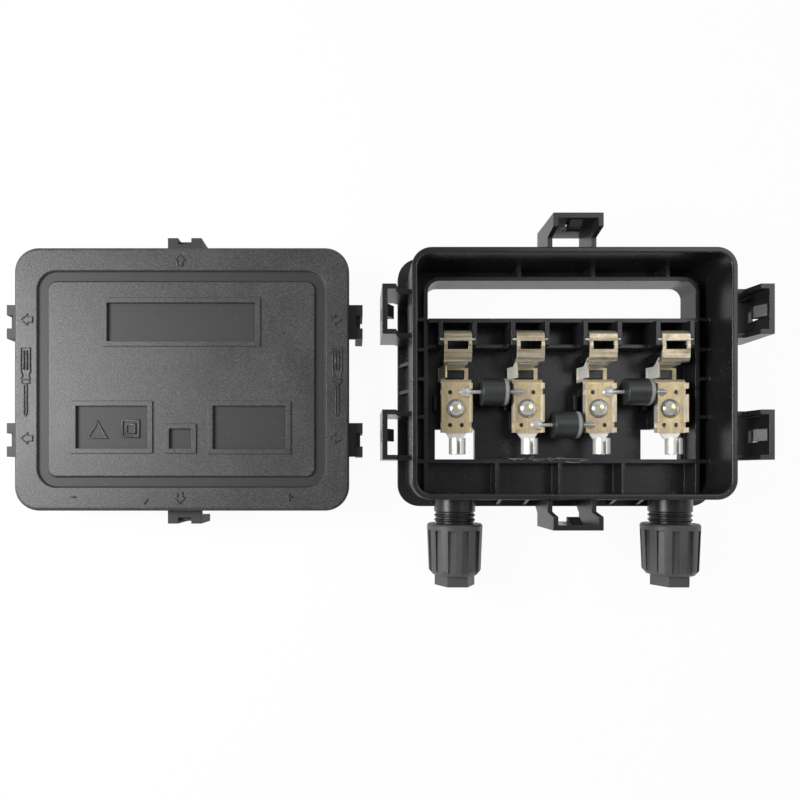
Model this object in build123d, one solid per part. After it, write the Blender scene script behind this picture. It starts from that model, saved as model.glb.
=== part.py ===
"""Junction box for the back of a solar panel, with its lid taken off and laid beside it.

Millimetres. X runs along the box, Y towards the ribbon window, Z out of the panel.
The origin is the centre of the base's back face, which is glued to the panel.
"""
from build123d import *

# ---------------------------------------------------------------- base moulding
FLANGE_LENGTH = 110.4
FLANGE_WIDTH = 87.0
FLANGE_THICKNESS = 2.5
FLANGE_CORNER = 7.5
RIM_INSET = 3.0
RIM_CORNER = 6.5
RIM_WALL = 1.9
RIM_HEIGHT = 22.0
RIM_EDGE_ROUND = 0.5

# The low wall that runs inside the rim, round the ribbon window and the terminals.
SIDE_TROUGH = 3.4
TOP_TROUGH = 3.7
BOTTOM_TROUGH = 10.0
WELL_WALL = 1.4
WELL_HEIGHT = 9.5
WELL_CORNER = 4.0
RIB_THICKNESS = 1.2
TOP_RIB_SHARES = (-0.137, 0.104, 0.347)
BOTTOM_RIB_SHARES = (-0.209, -0.004, 0.202)
SIDE_RIB_SHARES = (0.251, 0.125, 0.002, -0.158)
SIDE_GUSSET_SHARES = (0.069, -0.048)
BOTTOM_GUSSET_SHARES = (-0.195, -0.104, 0.184, 0.275)
GUSSET_HEIGHT = 6.0
GUSSET_STEP = 0.4
DIVIDER_Y = 19.6
DIVIDER_WALL = 1.4
DIVIDER_HEIGHT = 11.0

# Small windows under the outer crimp barrels.
LEAD_WINDOW_LENGTH = 14.0
LEAD_WINDOW_OFFSET_X = 1.0
LEAD_WINDOW_TOP_Y = -16.6

# ---------------------------------------------------------------- latches
LATCH_SIDE_Y = 19.8
LATCH_WIDTH = 15.8
LATCH_REACH = 9.5
LATCH_BAR = 1.65
LATCH_LEG = 1.55
LATCH_LOW_Z = 8.2
LATCH_HIGH_Z = 25.0
LATCH_STEP_Z = 19.3
LATCH_STEP_REACH = 3.9
LATCH_RAMP = 1.3
LATCH_WEB = 5.0
LATCH_WINDOW_WIDTH = 4.0
LATCH_WINDOW_HEIGHT = 5.1
LATCH_WINDOW_LOW_Z = 14.5
TOOTH_WIDTH = 3.9
TOOTH_REACH = 2.3
TOOTH_CATCH_Z = 19.6
TOOTH_NOSE = 1.0
TOOTH_RAMP = 3.4

# ---------------------------------------------------------------- terminals
# Their Y sizes, and those of clips, guides and diodes, count from a line this far above the crossbar.
TERMINAL_RISE_Y = 27.2
TERMINAL_END_GAP = 9.35
TERMINAL_COUNT = 4
SHEET = 0.6
BEND_RADIUS = 1.0
TABLE_Z = 11.0
SHELF_Z = 5.0
TABLE_WIDTH = 10.4
TABLE_NEAR_Y = -0.7
TABLE_FAR_Y = -18.3
SHELF_WINDOW_LEFT = -3.0
SHELF_WINDOW_RIGHT = 3.9
SHELF_WINDOW_LENGTH = 3.4
SHELF_WINDOW_GAP = 0.6
SHELF_BAR = 0.7
ANVIL_NEAR_Y = 5.6
ANVIL_END_Y = 9.5
ANVIL_LEFT = -2.6
ANVIL_RIGHT = 4.0
SIDE_RISE = 2.0
EAR_LENGTH = 6.0
EAR_LEAN = 17.0
EAR_SPIKE = 2.8
EAR_SPIKE_HEIGHT = 2.2
LEAD_HOLE = 1.5
LEAD_HOLE_X = 2.0
UPPER_HOLE_Y = -4.6
LOWER_HOLE_Y = -15.7
NOTCH_WIDTH = 1.9
NECK_WIDE = 7.0
NECK_WIDTH = 4.4
NECK_LENGTH = 2.0
BARREL_LENGTH = 5.3
BARREL_RADIUS = 2.75
BARREL_GAP = 1.0
RIVET_Y = -10.1
RIVET_HEAD = 6.6
RIVET_HEAD_RISE = 1.9
RIVET_STEM = 3.0
RIVET_DEPTH = 4.0
RIVET_CLEARANCE = 0.05

# Spring clip that holds the ribbon down, and the wire pin that it turns on.
CLIP_WIDTH = 9.2
CLIP_SHEET = 0.6
CLIP_TOP_Z = 15.3
CLIP_BACK_Y = 15.2
CLIP_FRONT_Y = 5.05
CLIP_SKIRT = 2.6
CLIP_FOOT_LENGTH = 3.6
CLIP_FOOT_WIDTH = 6.6
CLIP_FOOT_GAP = 0.35
CLIP_LEG_DROP = 3.2
CLIP_WINDOW_WIDTH = 7.0
CLIP_WINDOW_LOW_Y = 9.1
CLIP_WINDOW_HIGH_Y = 11.9
CLIP_EAR_WIDTH = 3.4
PIN_DIAMETER = 1.0
PIN_LENGTH = 11.7
PIN_Y = 12.6
PIN_Z = 13.9
PIN_RUNNING_GAP = 0.05
PIN_SLOT_GAP = 0.02

# Plastic guides that carry the pins and flank the plates.
GUIDE_GAP = 0.35
GUIDE_WALL = 1.4
GUIDE_HEIGHT = 14.4
GUIDE_FRONT_Y = 10.6
POST_GAP = 0.5
POST_WIDTH = 1.2
POST_LENGTH = 5.4
POST_DIODE_GAP = 0.3
POST_Y = -7.6

# ---------------------------------------------------------------- bypass diodes
DIODE_DIAMETER = 9.1
DIODE_LENGTH = 9.1
DIODE_EDGE_ROUND = 0.5
DIODE_SHIFT_SHARE = 0.13
LEAD_DIAMETER = 1.25
LEAD_REST_GAP = 0.02
LEAD_END_X = 1.6
LARGE_SOLDER_X = 3.4
LARGE_SOLDER = (2.4, 1.7, 1.3)
SMALL_SOLDER_X = 3.2
SMALL_SOLDER = (1.9, 1.3, 0.9)

# ---------------------------------------------------------------- cable glands
GLAND_TERMINAL_OFFSET = 0.35
GLAND_Z = 10.0
THREAD_DIAMETER = 13.8
THREAD_PITCH = 1.5
THREAD_DEPTH = 0.5
THREAD_START = 4.2
SPOUT_LENGTH = 17.0
SPOUT_BORE = 10.6
SPOUT_SEAT = 5.0
CABLE_PASSAGE = 7.2
NUT_COVER = 8.6
NUT_BODY = 17.0
NUT_DIAMETER = 18.6
NUT_TAPER = 0.6
NUT_TIP = 3.7
NUT_HEX = 11.7
NUT_FLUTES = 12
FLUTE_DEPTH = 0.9
FLUTE_WIDTH = 2.3
NUT_CONE = 4.5
NUT_CONE_INSET = 3.4
NUT_EXIT_BORE = 8.4
THREAD_GAP = 0.1
CLAW_GAP = 0.1
CLAW_WALL = 1.1
CLAW_COLLAR = 12.4
CLAW_COLLAR_LENGTH = 1.2
NUT_TRAVEL_IN = 3.0
CLAW_SEAT_GAP = 0.2
CLAW_FINGER_LENGTH = 4.2
CLAW_SLOTS = 6
CLAW_SLOT_WIDTH = 0.9
SEAL_GAP = 0.05
SEAL_BORE = 6.2
SEAL_LENGTH = 12.0

# ---------------------------------------------------------------- lid
LID_OVERHANG_X = 3.0
LID_OVERHANG_Y = 2.9
LID_CORNER = 8.0
LID_TOP = 2.2
LID_SKIRT_HEIGHT = 5.5
LID_SKIRT_WALL = 1.9
LID_EDGE_ROUND = 1.2
LID_HEIGHT = 16.2
LID_PLUG_GAP = 0.5
LID_PLUG_WALL = 1.5
LID_PLUG_DEPTH = 5.0
LID_CLEARANCE_X = 17.0
LID_SHIFT_Y = -0.95
GROOVE_INSET = 8.1
GROOVE_WIDTH = 2.9
GROOVE_DEPTH = 0.8
GROOVE_SLOPE = 35.0
GROOVE_CORNER = 6.0
PANEL_BORDER = 1.6
PANEL_RISE = 0.4
PANEL_SINK = 0.5
PANELS = {
    "top": (0.0, 18.7, 52.0, 15.9),
    "left": (-22.8, -15.85, 26.8, 17.2),
    "square": (-0.3, -19.6, 10.5, 9.7),
    "right": (22.4, -15.95, 27.2, 17.4),
}
TONGUE_WIDTH = 11.3
TONGUE_GAP = 0.35
TONGUE_THICKNESS = 2.5
TONGUE_DROP = 4.0
TONGUE_RECESS = 0.8
TOOTH_CLEARANCE = 0.1

# ---------------------------------------------------------------- lid seal
LID_SEAL_SQUEEZE = 0.5
LID_SEAL_WIDTH = 2.6

# ---------------------------------------------------------------- sizes worked out from those above
RIM_LENGTH = FLANGE_LENGTH - 2 * RIM_INSET
RIM_WIDTH = FLANGE_WIDTH - 2 * RIM_INSET
LID_LENGTH = RIM_LENGTH + 2 * LID_OVERHANG_X
LID_WIDTH = RIM_WIDTH + 2 * LID_OVERHANG_Y
WELL_LENGTH = RIM_LENGTH - 2 * (RIM_WALL + SIDE_TROUGH + WELL_WALL)
WELL_TOP_Y = RIM_WIDTH / 2 - RIM_WALL - TOP_TROUGH - WELL_WALL
WELL_BOTTOM_Y = -RIM_WIDTH / 2 + RIM_WALL + BOTTOM_TROUGH + WELL_WALL
WELL_WIDTH = WELL_TOP_Y - WELL_BOTTOM_Y
WELL_CENTRE_Y = (WELL_TOP_Y + WELL_BOTTOM_Y) / 2
TERMINAL_PITCH = (WELL_LENGTH - 2 * TERMINAL_END_GAP) / (TERMINAL_COUNT - 1)
TERMINAL_X = [(i - (TERMINAL_COUNT - 1) / 2) * TERMINAL_PITCH for i in range(TERMINAL_COUNT)]
TERMINAL_Y = WELL_BOTTOM_Y + TERMINAL_RISE_Y
GLAND_X = TERMINAL_X[-1] + GLAND_TERMINAL_OFFSET
GUIDE_INNER = CLIP_WIDTH / 2 + GUIDE_GAP
GUIDE_OUTER = GUIDE_INNER + GUIDE_WALL
DIVIDER_FRONT_Y = DIVIDER_Y - DIVIDER_WALL / 2
SPOUT_ROOT_Y = -RIM_WIDTH / 2
NUT_START = SPOUT_LENGTH - NUT_COVER
LEAD_Z = TABLE_Z + LEAD_DIAMETER / 2 + LEAD_REST_GAP
POST_HEIGHT = LEAD_Z - DIODE_DIAMETER / 2 - POST_DIODE_GAP
LID_X = -(FLANGE_LENGTH + LID_LENGTH) / 2 - LID_CLEARANCE_X
LID_CLOSED_RISE = LATCH_HIGH_Z - LID_HEIGHT
LATCHES = [
    (RIM_LENGTH / 2, LATCH_SIDE_Y, 0),
    (RIM_LENGTH / 2, -LATCH_SIDE_Y, 0),
    (-RIM_LENGTH / 2, LATCH_SIDE_Y, 180),
    (-RIM_LENGTH / 2, -LATCH_SIDE_Y, 180),
    (0, RIM_WIDTH / 2, 90),
    (0, -RIM_WIDTH / 2, 270),
]


def slab(x_low, x_high, y_low, y_high, z_low, z_high):
    """A block between two corners."""
    centre = Pos((x_low + x_high) / 2, (y_low + y_high) / 2, (z_low + z_high) / 2)
    return centre * Box(x_high - x_low, y_high - y_low, z_high - z_low)


def rounded_slab(length, width, corner, z_low, z_high, y=0.0):
    """A block with rounded upright corners, centred on the Z axis or shifted along Y."""
    outline = Pos(0, y, z_low) * RectangleRounded(length, width, corner)
    return extrude(outline, z_high - z_low)


def side_profile(points, width, x=0.0):
    """A solid of the given width along X from a closed outline in (y, z)."""
    outline = Plane.YZ * Polyline(*points, close=True)
    return Pos(x - width / 2, 0, 0) * extrude(make_face(outline), width, dir=(1, 0, 0))


def folded_sheet(points, radius, sheet, width):
    """A bent sheet of one width along X; the points are the (y, z) path of its lower or left face."""
    path = Plane.YZ * FilletPolyline(*points, radius=radius)
    outline = offset(path, amount=sheet, side=Side.LEFT, closed=True)
    return Pos(-width / 2, 0, 0) * extrude(make_face(outline.edges()), width, dir=(1, 0, 0))


def along_y(shape, x, y, z):
    """Turns a shape that was made along +Z so that it runs along -Y from (x, y, z)."""
    return Pos(x, y, z) * Rot(90, 0, 0) * shape


def rod(diameter, start, end):
    """A round rod on the Z axis."""
    return Pos(0, 0, (start + end) / 2) * Cylinder(diameter / 2, end - start)


# ================================================================ base housing
def latch_loop():
    """One latch eye on the rim: it stands out along +X from x = 0."""
    half = LATCH_WIDTH / 2
    bar_inner = LATCH_REACH - LATCH_BAR
    leg_outline = [
        (0, LATCH_LOW_Z - LATCH_WEB),
        (LATCH_WEB, LATCH_LOW_Z),
        (LATCH_REACH, LATCH_LOW_Z),
        (LATCH_REACH, LATCH_HIGH_Z),
        (LATCH_STEP_REACH + LATCH_RAMP, LATCH_HIGH_Z),
        (LATCH_STEP_REACH, LATCH_STEP_Z),
        (0, LATCH_STEP_Z),
    ]
    leg = extrude(make_face(Plane.XZ * Polyline(*leg_outline, close=True)), LATCH_LEG, dir=(0, 1, 0))
    loop = Pos(0, -half, 0) * leg + Pos(0, half - LATCH_LEG, 0) * leg
    loop += slab(bar_inner, LATCH_REACH, -half, half, LATCH_LOW_Z, LATCH_HIGH_Z)
    loop -= slab(
        bar_inner - 1, LATCH_REACH + 1,
        -LATCH_WINDOW_WIDTH / 2, LATCH_WINDOW_WIDTH / 2,
        LATCH_WINDOW_LOW_Z, LATCH_WINDOW_LOW_Z + LATCH_WINDOW_HEIGHT,
    )
    tooth_outline = [
        (bar_inner, TOOTH_CATCH_Z),
        (bar_inner - TOOTH_REACH, TOOTH_CATCH_Z),
        (bar_inner - TOOTH_REACH, TOOTH_CATCH_Z + TOOTH_NOSE),
        (bar_inner, TOOTH_CATCH_Z + TOOTH_NOSE + TOOTH_RAMP),
    ]
    tooth = extrude(make_face(Plane.XZ * Polyline(*tooth_outline, close=True)), TOOTH_WIDTH, dir=(0, 1, 0))
    return loop + Pos(0, -TOOTH_WIDTH / 2, 0) * tooth


def gland_spout():
    """The threaded spout of one gland, made along +Z from the rim's outer face."""
    crest = THREAD_DIAMETER / 2
    root = crest - THREAD_DEPTH
    outline = [(0, -RIM_WALL / 2), (crest, -RIM_WALL / 2), (crest, THREAD_START)]
    turns = int((SPOUT_LENGTH - THREAD_START) / THREAD_PITCH)
    for turn in range(turns):
        z = THREAD_START + turn * THREAD_PITCH
        outline += [(root, z + THREAD_PITCH * 0.3), (root, z + THREAD_PITCH * 0.55)]
        outline += [(crest, z + THREAD_PITCH * 0.85), (crest, z + THREAD_PITCH)]
    outline += [(root, SPOUT_LENGTH), (0, SPOUT_LENGTH)]
    return revolve(make_face(Plane.XZ * Polyline(*outline, close=True)), Axis.Z)


def terminal_guides(x):
    """The plastic posts, walls and pedestals that carry one terminal."""
    floor = FLANGE_THICKNESS
    parts = []
    for side in (-1, 1):
        inner = x + side * GUIDE_INNER
        outer = x + side * GUIDE_OUTER
        wall = slab(min(inner, outer), max(inner, outer), GUIDE_FRONT_Y, DIVIDER_FRONT_Y, floor, GUIDE_HEIGHT)
        parts.append(wall)
        post_inner = x + side * (TABLE_WIDTH / 2 + POST_GAP)
        post_outer = post_inner + side * POST_WIDTH
        parts.append(slab(
            min(post_inner, post_outer), max(post_inner, post_outer),
            POST_Y - POST_LENGTH / 2, POST_Y + POST_LENGTH / 2,
            floor, POST_HEIGHT,
        ))
    half = TABLE_WIDTH / 2 - 1.4
    parts.append(slab(x - half, x + half, LOWER_HOLE_Y - 1.0, TABLE_NEAR_Y - 1.8, floor, TABLE_Z - SHEET))
    parts.append(slab(x - half, x + half, TABLE_NEAR_Y + 1.7, ANVIL_NEAR_Y - 1.7, floor, SHELF_Z - SHEET))
    anvil_near = ANVIL_NEAR_Y + BEND_RADIUS
    parts.append(slab(x + ANVIL_LEFT, x + ANVIL_RIGHT, anvil_near, ANVIL_END_Y, floor, TABLE_Z - SHEET))
    return parts


def base_housing():
    """Flange, rim, inner well, latch loops, spouts and terminal supports, moulded in one piece."""
    inner_length = RIM_LENGTH - 2 * RIM_WALL
    inner_width = RIM_WIDTH - 2 * RIM_WALL
    rim = rounded_slab(RIM_LENGTH, RIM_WIDTH, RIM_CORNER, 0, RIM_HEIGHT)
    rim -= rounded_slab(inner_length, inner_width, RIM_CORNER - RIM_WALL, FLANGE_THICKNESS, RIM_HEIGHT)
    rim = fillet(rim.edges().group_by(Axis.Z)[-1], RIM_EDGE_ROUND)
    base = rounded_slab(FLANGE_LENGTH, FLANGE_WIDTH, FLANGE_CORNER, 0, FLANGE_THICKNESS) + rim

    # The well: rounded at its top corners, with side walls and a crossbar that run on to the rim.
    half = WELL_LENGTH / 2
    well_length = WELL_LENGTH + 2 * WELL_WALL
    well_width = WELL_WIDTH + 2 * WELL_WALL
    well = rounded_slab(well_length, well_width, WELL_CORNER + WELL_WALL, 0, WELL_HEIGHT, WELL_CENTRE_Y)
    well += slab(-well_length / 2, well_length / 2, -inner_width / 2, WELL_CENTRE_Y, 0, WELL_HEIGHT)
    well -= rounded_slab(WELL_LENGTH, WELL_WIDTH, WELL_CORNER, 0, WELL_HEIGHT, WELL_CENTRE_Y)
    well -= slab(-half, half, WELL_BOTTOM_Y, WELL_CENTRE_Y, 0, WELL_HEIGHT)
    well -= slab(-half, half, -inner_width / 2, WELL_BOTTOM_Y - WELL_WALL, FLANGE_THICKNESS, WELL_HEIGHT)
    for side in (-1, 1):
        low, high = sorted((side * half, side * inner_length / 2))
        well += slab(low, high, WELL_BOTTOM_Y - WELL_WALL, WELL_BOTTOM_Y, 0, WELL_HEIGHT)
    base += well
    row = Pos(0, TERMINAL_Y, 0)
    divider_back_y = DIVIDER_FRONT_Y + DIVIDER_WALL
    base += row * slab(-half, half, DIVIDER_FRONT_Y, divider_back_y, 0, DIVIDER_HEIGHT)

    # Ribs that tie the well to the rim across the trough.
    well_outer_x = half + WELL_WALL
    well_top = WELL_TOP_Y + WELL_WALL
    well_bottom = WELL_BOTTOM_Y - WELL_WALL
    ribs = []
    half_rib = RIB_THICKNESS / 2
    for x in (share * RIM_LENGTH for share in TOP_RIB_SHARES):
        ribs.append(slab(x - half_rib, x + half_rib, well_top, inner_width / 2, 0, WELL_HEIGHT))
    for x in (share * RIM_LENGTH for share in BOTTOM_RIB_SHARES):
        ribs.append(slab(x - half_rib, x + half_rib, -inner_width / 2, well_bottom, 0, WELL_HEIGHT))
    for y in (share * RIM_WIDTH for share in SIDE_RIB_SHARES):
        for side in (-1, 1):
            low, high = sorted((side * well_outer_x, side * inner_length / 2))
            ribs.append(slab(low, high, y - half_rib, y + half_rib, 0, WELL_HEIGHT))
    base += ribs

    # Walls between neighbouring terminal guides, and from the outer guides to the well.
    edges = [-half]
    for x in TERMINAL_X:
        edges += [x - GUIDE_OUTER, x + GUIDE_OUTER]
    edges.append(half)
    shelf_walls = []
    for low, high in zip(edges[::2], edges[1::2]):
        wall = slab(low, high, GUIDE_FRONT_Y, GUIDE_FRONT_Y + RIB_THICKNESS, 0, WELL_HEIGHT)
        shelf_walls.append(row * wall)
    base += shelf_walls
    for x in TERMINAL_X:
        base += [row * part for part in terminal_guides(x)]

    # Ribbon window and the two small windows, right through the flange.
    ribbon_window = rounded_slab(WELL_LENGTH, WELL_WIDTH, WELL_CORNER, -1, WELL_HEIGHT, WELL_CENTRE_Y)
    ribbon_window -= slab(-half, half, WELL_BOTTOM_Y, TERMINAL_Y + divider_back_y, -1, WELL_HEIGHT)
    base -= ribbon_window
    for x in (TERMINAL_X[0], TERMINAL_X[-1]):
        centre = x + LEAD_WINDOW_OFFSET_X
        base -= slab(
            centre - LEAD_WINDOW_LENGTH / 2, centre + LEAD_WINDOW_LENGTH / 2,
            WELL_BOTTOM_Y, TERMINAL_Y + LEAD_WINDOW_TOP_Y, -1, FLANGE_THICKNESS + 1,
        )

    # Pin slots in the guides, open at the top, and rivet holes in the pedestals.
    slot = PIN_DIAMETER / 2 + PIN_SLOT_GAP
    for x in TERMINAL_X:
        base -= row * slab(
            x - PIN_LENGTH / 2 - PIN_SLOT_GAP, x + PIN_LENGTH / 2 + PIN_SLOT_GAP,
            PIN_Y - slot, PIN_Y + slot, PIN_Z - slot, GUIDE_HEIGHT + 1,
        )
        stem = rod(RIVET_STEM + 2 * RIVET_CLEARANCE, TABLE_Z - SHEET - RIVET_DEPTH, TABLE_Z)
        base -= row * Pos(x, RIVET_Y, 0) * stem

    for x, y, turn in LATCHES:
        base += Pos(x, y, 0) * Rot(0, 0, turn) * latch_loop()

    # Short gussets on the rim's outer foot.
    for y in (share * RIM_WIDTH for share in SIDE_GUSSET_SHARES):
        for side in (-1, 1):
            base += rim_gusset(side * RIM_LENGTH / 2, y, 0 if side > 0 else 180)
    for x in (share * RIM_LENGTH for share in BOTTOM_GUSSET_SHARES):
        base += rim_gusset(x, -RIM_WIDTH / 2, 270)

    for side in (-1, 1):
        base += along_y(gland_spout(), side * GLAND_X, SPOUT_ROOT_Y, GLAND_Z)
        passage = rod(CABLE_PASSAGE, -RIM_WALL - 1, SPOUT_LENGTH)
        pocket = rod(SPOUT_BORE, SPOUT_SEAT, SPOUT_LENGTH)
        base -= along_y(passage + pocket, side * GLAND_X, SPOUT_ROOT_Y, GLAND_Z)
    return base


def rim_gusset(x, y, turn):
    """A thin three-cornered web between the rim's outer wall and the flange."""
    low = FLANGE_THICKNESS
    outline = [(0, low), (RIM_INSET - GUSSET_STEP, low), (0, low + GUSSET_HEIGHT)]
    web = extrude(make_face(Plane.XZ * Polyline(*outline, close=True)), RIB_THICKNESS, dir=(0, 1, 0))
    return Pos(x, y, 0) * Rot(0, 0, turn) * Pos(0, -RIB_THICKNESS / 2, 0) * web


# ================================================================ terminals
def terminal_plate():
    """Stamped plate with its table, windowed shelf, anvil, raised sides, ear and crimp barrel."""
    low_table = TABLE_Z - SHEET
    low_shelf = SHELF_Z - SHEET
    path = [
        (TABLE_FAR_Y, low_table),
        (TABLE_NEAR_Y, low_table),
        (TABLE_NEAR_Y, low_shelf),
        (ANVIL_NEAR_Y, low_shelf),
        (ANVIL_NEAR_Y, low_table),
        (ANVIL_END_Y, low_table),
    ]
    plate = folded_sheet(path, BEND_RADIUS, SHEET, TABLE_WIDTH)
    half = TABLE_WIDTH / 2
    window_near = TABLE_NEAR_Y + SHEET + SHELF_WINDOW_GAP
    window_far = window_near + SHELF_WINDOW_LENGTH
    strip_end = window_far + SHELF_BAR
    plate -= slab(SHELF_WINDOW_LEFT, SHELF_WINDOW_RIGHT, window_near, window_far, 0, SHELF_Z + 1)
    plate -= slab(-half - 1, ANVIL_LEFT, strip_end, ANVIL_END_Y + 1, 0, TABLE_Z + 1)
    plate -= slab(ANVIL_RIGHT, half + 1, strip_end, ANVIL_END_Y + 1, 0, TABLE_Z + 1)
    for side in (-1, 1):
        low, high = sorted((side * half, side * (half - SHEET)))
        plate += slab(low, high, TABLE_FAR_Y, TABLE_NEAR_Y - BEND_RADIUS, low_table, TABLE_Z + SIDE_RISE)

    # Left ear of the shelf: it leans in over the window and ends in a spike towards the clip.
    ear_outline = [
        (window_near, SHEET / 2), (strip_end, SHEET / 2), (strip_end, EAR_LENGTH - EAR_SPIKE_HEIGHT),
        (strip_end + EAR_SPIKE, EAR_LENGTH), (window_near, EAR_LENGTH),
    ]
    plate += Pos(-half, 0, low_shelf) * Rot(0, EAR_LEAN, 0) * side_profile(ear_outline, SHEET, SHEET / 2)

    # Neck and open crimp barrel.
    neck_end = TABLE_FAR_Y - NECK_LENGTH
    neck_outline = [
        (-NECK_WIDE / 2, TABLE_FAR_Y), (NECK_WIDE / 2, TABLE_FAR_Y),
        (NECK_WIDTH / 2, neck_end), (-NECK_WIDTH / 2, neck_end),
    ]
    plate += Pos(0, 0, low_table) * extrude(make_face(Polyline(*neck_outline, close=True)), SHEET)
    barrel = Cylinder(BARREL_RADIUS, BARREL_LENGTH) - Cylinder(BARREL_RADIUS - SHEET, BARREL_LENGTH)
    barrel -= slab(-BARREL_GAP / 2, BARREL_GAP / 2, 0, BARREL_RADIUS + 1, -BARREL_LENGTH, BARREL_LENGTH)
    barrel_y = neck_end - BARREL_LENGTH / 2
    plate += Pos(0, barrel_y, low_table + BARREL_RADIUS) * Rot(90, 0, 0) * barrel

    # Lead holes, and the notches in line with them in the raised sides.
    half_notch = NOTCH_WIDTH / 2
    for y in (UPPER_HOLE_Y, LOWER_HOLE_Y):
        for x in (-LEAD_HOLE_X, LEAD_HOLE_X):
            plate -= Pos(x, y, 0) * rod(LEAD_HOLE, low_table - 1, TABLE_Z + 1)
        plate -= slab(-half - 1, half + 1, y - half_notch, y + half_notch, TABLE_Z, TABLE_Z + SIDE_RISE + 1)
    plate -= Pos(0, RIVET_Y, 0) * rod(RIVET_STEM + 2 * RIVET_CLEARANCE, low_table - 1, TABLE_Z + 1)
    return plate


def terminal_rivet():
    """Domed rivet that holds the plate to its pedestal."""
    head_radius = RIVET_HEAD / 2
    ball = (head_radius ** 2 + RIVET_HEAD_RISE ** 2) / (2 * RIVET_HEAD_RISE)
    dome = Pos(0, 0, TABLE_Z + RIVET_HEAD_RISE - ball) * Sphere(ball)
    dome &= slab(-RIVET_HEAD, RIVET_HEAD, -RIVET_HEAD, RIVET_HEAD, TABLE_Z, TABLE_Z + RIVET_HEAD_RISE + 1)
    return Pos(0, RIVET_Y, 0) * (dome + rod(RIVET_STEM, TABLE_Z - SHEET - RIVET_DEPTH, TABLE_Z))


def ribbon_clip():
    """Spring clip: a bent sheet with a window in its roof and two ears that turn on the wire pin."""
    underside = CLIP_TOP_Z - CLIP_SHEET
    foot_z = TABLE_Z + CLIP_FOOT_GAP
    path = [
        (CLIP_FRONT_Y + CLIP_FOOT_LENGTH, foot_z + CLIP_SHEET),
        (CLIP_FRONT_Y + CLIP_SHEET, foot_z + CLIP_SHEET),
        (CLIP_FRONT_Y + CLIP_SHEET, underside - 0.4),
        (PIN_Y - 2.4, underside),
        (CLIP_BACK_Y - 0.9, underside - 0.3),
        (CLIP_BACK_Y, CLIP_TOP_Z - CLIP_SKIRT),
    ]
    clip = folded_sheet(path, BEND_RADIUS * 0.8, CLIP_SHEET, CLIP_WIDTH)
    clip -= slab(
        -CLIP_WINDOW_WIDTH / 2, CLIP_WINDOW_WIDTH / 2,
        CLIP_WINDOW_LOW_Y, CLIP_WINDOW_HIGH_Y, underside - 1, CLIP_TOP_Z + 1,
    )
    half = CLIP_WIDTH / 2
    for side in (-1, 1):
        low, high = sorted((side * (half + 1), side * CLIP_FOOT_WIDTH / 2))
        clip -= slab(low, high, 0, CLIP_WINDOW_LOW_Y + 1, 0, CLIP_TOP_Z - CLIP_LEG_DROP)
    drop = PIN_Z - PIN_DIAMETER
    for side in (-1, 1):
        low, high = sorted((side * half, side * (half - CLIP_SHEET)))
        clip += slab(low, high, PIN_Y - CLIP_EAR_WIDTH / 2, PIN_Y + CLIP_EAR_WIDTH / 2, drop, underside)
    return clip - pin_rod(PIN_DIAMETER + 2 * PIN_RUNNING_GAP)


def pin_rod(diameter):
    """A rod on the clip's turning axis, as long as the wire pin."""
    return Pos(-PIN_LENGTH / 2, PIN_Y, PIN_Z) * Rot(0, 90, 0) * rod(diameter, 0, PIN_LENGTH)


# ================================================================ diodes
def diode(left, right, row_y, plate):
    """One axial diode between two terminals: returns its body, its two leads and its solder."""
    gap_left = TERMINAL_X[left] + TABLE_WIDTH / 2
    gap_right = TERMINAL_X[right] - TABLE_WIDTH / 2
    centre = (gap_left + gap_right) / 2 + DIODE_SHIFT_SHARE * (gap_right - gap_left - DIODE_LENGTH)
    start = centre - DIODE_LENGTH / 2
    end = centre + DIODE_LENGTH / 2
    body = rod(DIODE_DIAMETER, start, end)
    body = fillet(body.edges().filter_by(GeomType.CIRCLE), DIODE_EDGE_ROUND)
    lead_start = TERMINAL_X[left] + LEAD_END_X
    lead_end = TERMINAL_X[right] - LEAD_END_X
    turn = Pos(0, row_y, LEAD_Z) * Rot(0, 90, 0)
    leads = [turn * rod(LEAD_DIAMETER, lead_start, start), turn * rod(LEAD_DIAMETER, end, lead_end)]
    joints = [
        (TERMINAL_X[left], TERMINAL_X[left] + LARGE_SOLDER_X, LARGE_SOLDER, leads[0]),
        (TERMINAL_X[right], TERMINAL_X[right] - SMALL_SOLDER_X, SMALL_SOLDER, leads[1]),
    ]
    solder = []
    for plate_x, x, radii, lead in joints:
        blob = Pos(x, row_y, TABLE_Z) * scale(Sphere(1), radii)
        reach = max(radii)
        blob -= slab(x - reach, x + reach, row_y - reach, row_y + reach, TABLE_Z - reach, TABLE_Z)
        solder.append(blob - lead - Pos(plate_x, 0, 0) * plate)
    return turn * body, leads, solder


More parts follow.
